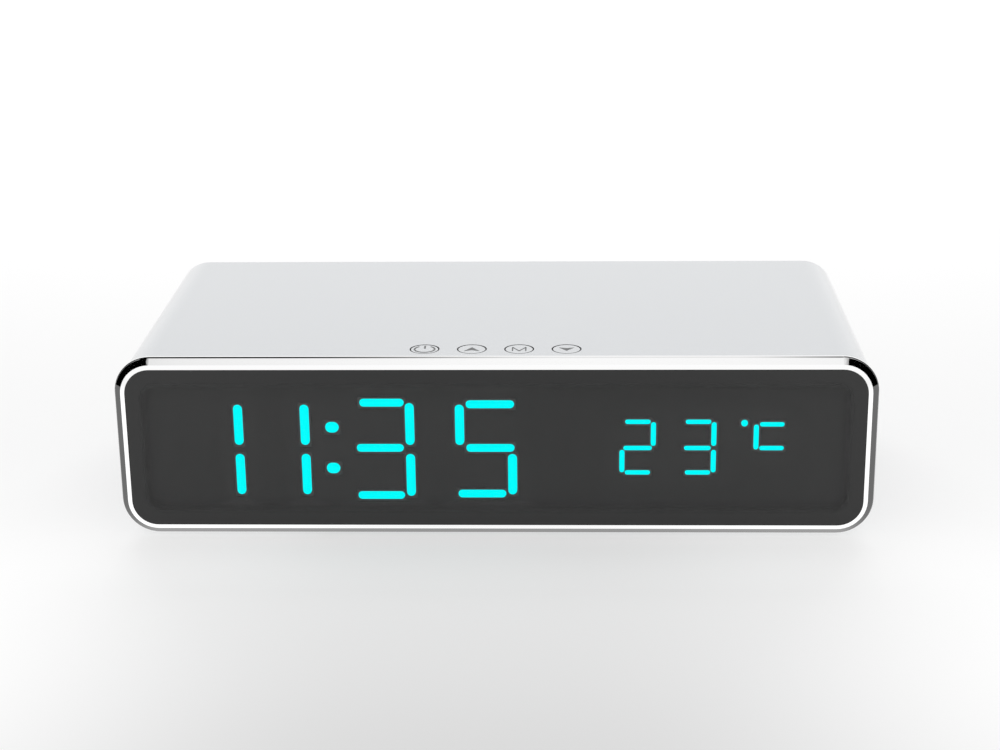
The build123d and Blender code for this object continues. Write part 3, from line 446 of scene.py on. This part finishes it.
plastics = {
    "block_black": ((0.085, 0.085, 0.085), 0.7, 6.0, 0.0),
    "unlit_dark": ((0.085, 0.085, 0.085), 0.7, 6.0, 0.0),
    "chip_black": ((0.03, 0.03, 0.032), 0.55, 0.12, 0.006),
    "header_ivory": ((0.80, 0.76, 0.64), 0.42, 0.5, 0.003),
    "cable_white": ((0.78, 0.79, 0.80), 0.45, 0.6, 0.002),
    "lead_red": ((0.55, 0.045, 0.035), 0.4, 0.4, 0.003),
    "switch_black": ((0.035, 0.035, 0.037), 0.5, 0.2, 0.004),
    "plunger_black": ((0.05, 0.05, 0.052), 0.4, 0.2, 0.003),
    "inlet_black": ((0.028, 0.028, 0.03), 0.4, 0.15, 0.003),
    "holder_black": ((0.045, 0.045, 0.048), 0.48, 0.32, 0.012),
    "cover_black": ((0.05, 0.05, 0.053), 0.5, 0.35, 0.014),
    "foot_rubber": ((0.055, 0.055, 0.057), 0.82, 0.22, 0.02),
}

moulding = {
    "spread": 0.1,
    "pebbles": {"share": 0.5, "rough": 0.12, "usual": 0.4, "strength": 0.6},
    "clouds": {"size": 18.0, "share": 0.5, "rough": 0.05},
}


def makePlastic(name):
    colour, rough, grain, depth = plastics[name]
    pebble, cloud = moulding["pebbles"], moulding["clouds"]
    finish = Finish(name)
    pebbles = finish.cells(grain, "SMOOTH_F1")
    clouds = finish.noise(cloud["size"])
    patches = pebbles * pebble["share"] + clouds * cloud["share"]
    uneven = (pebbles - pebble["usual"]) * pebble["rough"] + clouds.centred() * cloud["rough"]
    return finish.surface(
        Base_Color=finish.tinted(colour, patches, moulding["spread"]),
        Roughness=rough + uneven,
        Normal=finish.bump(pebbles, depth, pebble["strength"]),
    )


# foam tape behind the lens

foam = {
    "colour": (0.09, 0.09, 0.09),
    "rough": 0.6,
    "specular": 0.12,
    "pores": {"size": 0.35, "spread": 0.04, "rough": 0.1},
}


def makeFoam(name):
    finish = Finish(name)
    pore = foam["pores"]
    pores = finish.cells(pore["size"])
    return finish.surface(
        Base_Color=finish.tinted(foam["colour"], pores, pore["spread"]),
        Roughness=foam["rough"] + pores * pore["rough"],
        Specular_IOR_Level=foam["specular"],
    )


# circuit boards: lacquer over copper tracks, with plated holes on a fixed pitch

board = {
    "mask": (0.022, 0.15, 0.075),
    "track": (0.045, 0.27, 0.13),
    "tin": (0.62, 0.62, 0.6),
    "pitch": 2.54,
    "lanes": {"size": 11.0, "split": 0.5},  # where the tracks run the other way
    "holes": {"size": 5.0, "split": 0.56, "radius": 0.22},  # radius as a share of the pitch
    "trackLevel": 0.35,
    "rough": 0.36,
    "grain": {"size": 1.5, "rough": 0.08},
    "tinMetal": 0.9,
    "tinRough": -0.1,
    "relief": (0.03, 0.5),
}


def patchesOf(finish, patch):  # plain patches with a sharp edge
    return finish.noise(patch["size"], 0.0) > patch["split"]


def makeBoard(name):
    finish = Finish(name)
    across = finish.along("X") / board["pitch"]
    up = (finish.along("Y") + finish.along("Z")) / board["pitch"]
    turned = patchesOf(finish, board["lanes"]) * (across - up) + up
    track = (turned * math.tau).wave() > board["trackLevel"]
    nearAcross = across - across.math("ROUND")
    nearUp = up - up.math("ROUND")
    radius = (nearAcross * nearAcross + nearUp * nearUp).math("SQRT")
    hole = (radius < board["holes"]["radius"]) * patchesOf(finish, board["holes"])
    green = finish.blend(track, board["mask"], board["track"])
    grain = finish.noise(board["grain"]["size"]) * board["grain"]["rough"]
    return finish.surface(
        Base_Color=finish.blend(hole, green, board["tin"]),
        Metallic=hole * board["tinMetal"],
        Roughness=board["rough"] + grain + hole * board["tinRough"],
        Normal=finish.bump(track + hole, *board["relief"]),
    )


# lamps behind the segments

lampBody = {
    "case": (0.84, 0.85, 0.8),
    "phosphor": (0.86, 0.8, 0.42),
    "rough": 0.3,
    "patches": {"size": 0.25, "edge": (0.45, 0.6), "rough": 0.1},
}


def makeLamp(name):
    finish = Finish(name)
    patch = lampBody["patches"]
    patches = finish.noise(patch["size"])
    return finish.surface(
        Base_Color=finish.blend(patches.ramped(*patch["edge"]), lampBody["case"], lampBody["phosphor"]),
        Roughness=lampBody["rough"] + patches * patch["rough"],
    )


# plain metals: colour, roughness, size of the fine marks, and how far these are drawn out along x, y and z

metals = {
    "screw_steel": ((0.58, 0.585, 0.6), 0.3, 0.3, (1, 1, 1)),
    "can_aluminium": ((0.74, 0.75, 0.77), 0.26, 0.5, (1, 1, 0.08)),
    "inlet_steel": ((0.66, 0.665, 0.68), 0.24, 0.4, (1, 0.1, 1)),
    "contact_brass": ((0.74, 0.64, 0.42), 0.28, 0.5, (0.1, 1, 1)),
}

working = {
    "spread": 0.07,
    "patina": {"size": 4.0, "share": 0.6},
    "marks": {"detail": 3.0, "share": 0.4, "rough": 0.18, "relief": (0.004, 0.35)},
}


def makeMetal(name):
    colour, rough, size, stretch = metals[name]
    mark, stain = working["marks"], working["patina"]
    finish = Finish(name)
    marks = finish.noise(size, mark["detail"], stretch)
    patches = finish.noise(stain["size"]) * stain["share"] + marks * mark["share"]
    return finish.surface(
        Base_Color=finish.tinted(colour, patches, working["spread"]),
        Metallic=1.0,
        Roughness=rough + marks.centred() * mark["rough"],
        Normal=finish.bump(marks, *mark["relief"]),
    )


def roundMarks(finish, node, pitch):  # waves from 0 to 1 that run round the middle of a node
    return (fromAxis(finish, middleOf(node)) * (math.tau / pitch)).wave() * 0.5 + 0.5


# turned steel of the backup cell

cell = {
    "colour": (0.68, 0.685, 0.69),
    "rough": 0.24,
    "turned": {"pitch": 0.22, "rough": 0.08, "relief": (0.003, 0.5)},
    "patina": {"size": 3.0, "spread": 0.05, "rough": 0.06},
}


def makeCell(name):
    finish = Finish(name)
    mark, stain = cell["turned"], cell["patina"]
    turned = roundMarks(finish, "coin_cell", mark["pitch"])
    patina = finish.noise(stain["size"])
    return finish.surface(
        Base_Color=finish.tinted(cell["colour"], patina, stain["spread"]),
        Metallic=1.0,
        Roughness=cell["rough"] + turned * mark["rough"] + patina * stain["rough"],
        Normal=finish.bump(turned, *mark["relief"]),
    )


# wound copper of the charging coil

copper = {
    "gap": (0.16, 0.05, 0.02),
    "wire": (0.74, 0.33, 0.15),
    "metal": 0.85,
    "rough": 0.3,
    "turns": {"pitch": 0.85, "roundness": 0.6, "relief": (0.35, 1.0)},
    "shade": {"size": 2.5, "rough": 0.12},
}


def makeCopper(name):
    finish = Finish(name)
    turn, shade = copper["turns"], copper["shade"]
    turns = roundMarks(finish, "charging_coil", turn["pitch"])
    return finish.surface(
        Base_Color=finish.blend(turns ** turn["roundness"], copper["gap"], copper["wire"]),
        Metallic=copper["metal"],
        Roughness=copper["rough"] + finish.noise(shade["size"]) * shade["rough"],
        Normal=finish.bump(turns, *turn["relief"]),
    )


# ferrite sheet under the coil

ferrite = {
    "colour": (0.11, 0.11, 0.12),
    "metal": 0.2,
    "rough": 0.55,
    "grains": {"size": 0.4, "spread": 0.25, "rough": 0.15, "relief": (0.01, 0.5)},
}


def makeFerrite(name):
    finish = Finish(name)
    grain = ferrite["grains"]
    grains = finish.cells(grain["size"])
    return finish.surface(
        Base_Color=finish.tinted(ferrite["colour"], grains, grain["spread"]),
        Metallic=ferrite["metal"],
        Roughness=ferrite["rough"] + grains * grain["rough"],
        Normal=finish.bump(grains, *grain["relief"]),
    )


# temperature sensor: a lacquered bead on bare leads

sensor = {
    "bead": (0.1, 0.075, 0.06),
    "beadHeight": 3.2,
    "leads": (0.62, 0.62, 0.6),
    "metal": 0.95,
    "rough": 0.3,
    "speckle": {"size": 0.3, "spread": 0.2, "rough": 0.15},
}


def makeSensor(name):
    finish = Finish(name)
    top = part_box("temperature_sensor")[1].z / mm
    onBead = finish.along("Z") > (top - sensor["beadHeight"])
    speck = sensor["speckle"]
    speckle = finish.noise(speck["size"])
    bead = finish.tinted(sensor["bead"], speckle, speck["spread"])
    return finish.surface(
        Base_Color=finish.blend(onBead, sensor["leads"], bead),
        Metallic=sensor["metal"] * (1.0 - onBead),
        Roughness=sensor["rough"] + speckle * speck["rough"],
    )


# every node of the frame gets the finish of its slot

special = {
    "bezel_chrome": makeChrome,
    "smoked_lens": makeLens,
    "lit_cyan": makeLit,
    "foam_tape": makeFoam,
    "board_green": makeBoard,
    "lamp_white": makeLamp,
    "sensor_bead": makeSensor,
    "cell_steel": makeCell,
    "coil_copper": makeCopper,
    "ferrite_grey": makeFerrite,
    "case_silver": makeLacquer,
    "key_silver": makeLacquer,
}


def dressNodes():
    finishes = {}
    for part in frame["record"]["subparts"]:
        slot = part["material_slot"]
        if slot not in finishes:
            maker = special.get(slot) or (makePlastic if slot in plastics else makeMetal)
            finishes[slot] = maker(slot)
        node = nodes[part["node"]]
        if not node.material_slots:
            node.data.materials.append(finishes[slot])
        for place in node.material_slots:
            place.material = finishes[slot]
    return len(finishes)


print("finishes given to the frame:", dressNodes())


# key marks, thin prints on top of the caps: sizes in millimetres, the gap in degrees

marks = {
    "thick": 0.03,
    "power": {"radius": 2.65, "stroke": 0.5, "gap": 70, "top": 2.9, "low": 0.5, "steps": 48},
    "up": {"half": 2.05, "high": 1.6, "low": -1.6, "notch": -0.8},
    "mode": {"half": 1.75, "high": 1.55, "low": -1.55, "stroke": 0.36},
    "down": {"half": 2.0, "high": 1.25, "low": -1.45, "notch": 0.75},
}

ink = {"colour": (0.15, 0.152, 0.155), "rough": 0.55, "specks": {"size": 0.2, "spread": 0.08, "rough": 0.1}}


def makePrintInk():
    finish = Finish("key_print")
    speck = ink["specks"]
    specks = finish.noise(speck["size"])
    return finish.surface(
        Base_Color=finish.tinted(ink["colour"], specks, speck["spread"]),
        Roughness=ink["rough"] + specks * speck["rough"],
    )


def arcOutline(radius, stroke, gap, steps):  # a ring that is open at the top, as small four-sided pieces
    start = math.radians(90 + gap / 2)
    sweep = math.radians(360 - gap)
    turns = [start + sweep * i / steps for i in range(steps + 1)]
    outer = [((radius + stroke / 2) * math.cos(t), (radius + stroke / 2) * math.sin(t)) for t in turns]
    inner = [((radius - stroke / 2) * math.cos(t), (radius - stroke / 2) * math.sin(t)) for t in turns]
    return [[outer[i], outer[i + 1], inner[i + 1], inner[i]] for i in range(steps)]


def strokeOutline(start, end, width):
    a, b = Vector(start), Vector(end)
    side = (b - a).orthogonal().normalized() * width / 2
    return [tuple(a + side), tuple(b + side), tuple(b - side), tuple(a - side)]


def markOutlines(name):
    size = marks[name]
    if name == "power":
        bar = strokeOutline((0, size["low"]), (0, size["top"]), size["stroke"])
        return arcOutline(size["radius"], size["stroke"], size["gap"], size["steps"]) + [bar]
    half, high, low = size["half"], size["high"], size["low"]
    if name == "mode":
        corners = [(-half, low), (-half, high), (0, low), (half, high), (half, low)]
        return [strokeOutline(a, b, size["stroke"]) for a, b in zip(corners, corners[1:])]
    notch = (0, size["notch"])
    if name == "up":
        return [[(0, high), (-half, low), notch], [(0, high), notch, (half, low)]]
    return [[(0, low), notch, (-half, high)], [(0, low), (half, high), notch]]


def makeMark(name, printInk):
    low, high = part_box("key_cap_" + name)
    centre = (low + high) / 2
    mesh = bmesh.new()
    for outline in markOutlines(name):
        corners = [mesh.verts.new((centre.x + x * mm, centre.y + y * mm, high.z)) for x, y in outline]
        mesh.faces.new(corners)
    bmesh.ops.remove_doubles(mesh, verts=mesh.verts, dist=weld)
    bmesh.ops.recalc_face_normals(mesh, faces=mesh.faces)
    raised = bmesh.ops.extrude_face_region(mesh, geom=mesh.faces[:])
    tops = [v for v in raised["geom"] if isinstance(v, bmesh.types.BMVert)]
    bmesh.ops.translate(mesh, verts=tops, vec=(0, 0, marks["thick"] * mm))
    bmesh.ops.recalc_face_normals(mesh, faces=mesh.faces)
    data = bpy.data.meshes.new(name + "_mark")
    mesh.to_mesh(data)
    mesh.free()
    data.materials.append(printInk)
    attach(placed(name + "_mark", data), name + "_key")


def makeMarks():
    printInk = makePrintInk()
    for name in keyNames:
        makeMark(name, printInk)


makeMarks()
print("key marks made")


# studio: pale floor with painted shadow and painted light on it, even world, soft lamps, and cards that only
# reflections show

studio = {
    "floorSize": 24.0,
    "floorTone": 0.9,
    "floorWhite": 0.55,
    "floorGlow": 0.953,
    "paintedShadowAndLight": {  # painted shadow in front of the clock (near) and painted light round it (band, front and both ends) on the floor, in millimetres
        "near": {"middle": (0.0, -175.0), "reach": (91.0, 112.0), "amount": -0.458},
        "band": {"middle": (0.0, -120.0), "reach": (1500.0, 92.0), "amount": 0.235},
        "front": {"middle": (0.0, -76.0), "reach": (112.0, 25.0), "amount": 0.085},
        "leftEnd": {"middle": (-85.0, -58.0), "reach": (40.0, 25.0), "amount": 0.09},
        "rightEnd": {"middle": (85.0, -58.0), "reach": (40.0, 25.0), "amount": 0.09},
    },
    "poolEnds": 3,  # the higher, the steeper a pool's left and right ends
    "worldLight": 0.62,
    "worldTone": 1.0,
    "aim": (0.0, -0.03, 0.0),
    "lamps": {
        "back_softbox": {"place": (0.0, 0.85, 0.75), "size": (1.2, 0.7), "power": 7.0},
        "low_back_softbox": {"place": (0.0, 1.3, 0.34), "size": (1.6, 0.5), "power": 9.0},
    },
    "cards": {
        "top_card": [
            (-0.396, -0.824, 0.694),
            (0.416, -0.824, 0.694),
            (0.416, -0.416, 0.986),
            (-0.396, -0.416, 0.986),
        ],
        "edge_card": [(-0.7, 0.2, 0.95), (0.3, 0.2, 0.95), (0.3, 0.4, 0.95), (-0.7, 0.4, 0.95)],
        "left_card": [(-0.45, -0.17, 0), (-0.45, -0.95, 1.4), (-0.45, -0.755, 1.4), (-0.45, -0.03, 0)],
        "right_card": [(0.45, -0.17, 0), (0.45, -0.95, 1.4), (0.45, -0.755, 1.4), (0.45, -0.03, 0)],
    },
    "topShade": {"peak": 1.18, "middle": 30.0, "reach": 940.0, "end": (268.0, 405.0), "drop": 0.42},
    "edgeFade": {"left": (-250.0, 20.0), "right": (140.0, 260.0)},
}


def seenRays(finish, cameraShare=1.0):  # camera, glossy and transmission rays show the background
    path = finish.tree.nodes.new("ShaderNodeLightPath")
    rays = [Wire(finish, path.outputs[n]) for n in ("Is Camera Ray", "Is Glossy Ray", "Is Transmission Ray")]
    return (rays[0] * cameraShare).largest(rays[1]).largest(rays[2])


# the floor's glow, with the painted shadow and painted light laid over it
def floorGlow(finish):
    glow = studio["floorGlow"]
    for pool in studio["paintedShadowAndLight"].values():
        x, y = ((finish.along(axis) - pool["middle"][i]) / pool["reach"][i] for i, axis in enumerate("XY"))
        glow = (0.0 - (abs(x) ** studio["poolEnds"] + y * y)).math("EXPONENT") * pool["amount"] + glow
    return glow


def makeFloor():
    mesh = bmesh.new()
    bmesh.ops.create_grid(mesh, x_segments=1, y_segments=1, size=studio["floorSize"] / 2)
    data = bpy.data.meshes.new("floor")
    mesh.to_mesh(data)
    mesh.free()
    placed("floor", data)
    finish = Finish("pale_floor")
    matte = finish.node("ShaderNodeBsdfDiffuse", None, {"Color": (studio["floorTone"],) * 3})
    glow = finish.node("ShaderNodeEmission", None, {"Color": white, "Strength": floorGlow(finish)})
    share = seenRays(finish, studio["floorWhite"])
    both = finish.node("ShaderNodeMixShader", None, {0: share, 1: matte, 2: glow})
    data.materials.append(finish.shown(both))


def makeWorld():
    world = bpy.data.worlds.new("studio_world")
    bpy.context.scene.world = world
    finish = Finish("studio_world", world)
    light = finish.node("ShaderNodeBackground", None, {"Color": white, "Strength": studio["worldLight"]})
    seen = finish.node("ShaderNodeBackground", None, {"Color": white, "Strength": studio["worldTone"]})
    finish.shown(finish.node("ShaderNodeMixShader", None, {0: seenRays(finish), 1: light, 2: seen}))


def makeLamps():
    for name, setup in studio["lamps"].items():
        data = bpy.data.lights.new(name, "AREA")
        data.shape = "RECTANGLE"
        data.size, data.size_y = setup["size"]
        data.energy = setup["power"]
        lamp = placed(name, data)
        place = Vector(setup["place"])
        turn = (Vector(studio["aim"]) - place).to_track_quat("-Z", "Y")
        lamp.matrix_world = Matrix.Translation(place) @ turn.to_matrix().to_4x4()
        lamp.visible_glossy = False
        lamp.visible_camera = False


def edgeShade(finish):  # black on the left, clear in the middle, black on the right
    x = finish.along("X")
    rise = x.ramped(*studio["edgeFade"]["left"])
    return rise * rise * (1.0 - x.ramped(*studio["edgeFade"]["right"]))


def topShade(finish):  # falls off slowly from its brightest place, faster at both ends
    shade = studio["topShade"]
    x = finish.along("X")
    aside = (x - shade["middle"]) / shade["reach"]
    return (1.0 - aside * aside) * (1.0 - abs(x).ramped(*shade["end"]) * shade["drop"]) * shade["peak"]


cardShades = {"top_card": topShade, "edge_card": edgeShade}  # the other cards are black


def makeCards():
    for name, corners in studio["cards"].items():
        data = bpy.data.meshes.new(name)
        data.from_pydata(corners, [], [tuple(range(len(corners)))])
        card = placed(name, data)
        finish = Finish(name)
        strength = cardShades[name](finish) if name in cardShades else 0.0
        glow = finish.node("ShaderNodeEmission", None, {"Color": white, "Strength": strength})
        data.materials.append(finish.shown(glow))
        card.visible_camera = False
        card.visible_diffuse = False
        card.visible_shadow = False
        card.visible_transmission = False


makeWorld()
makeFloor()
makeLamps()
makeCards()
bpy.context.scene.view_settings.view_transform = "Standard"
print("studio made")
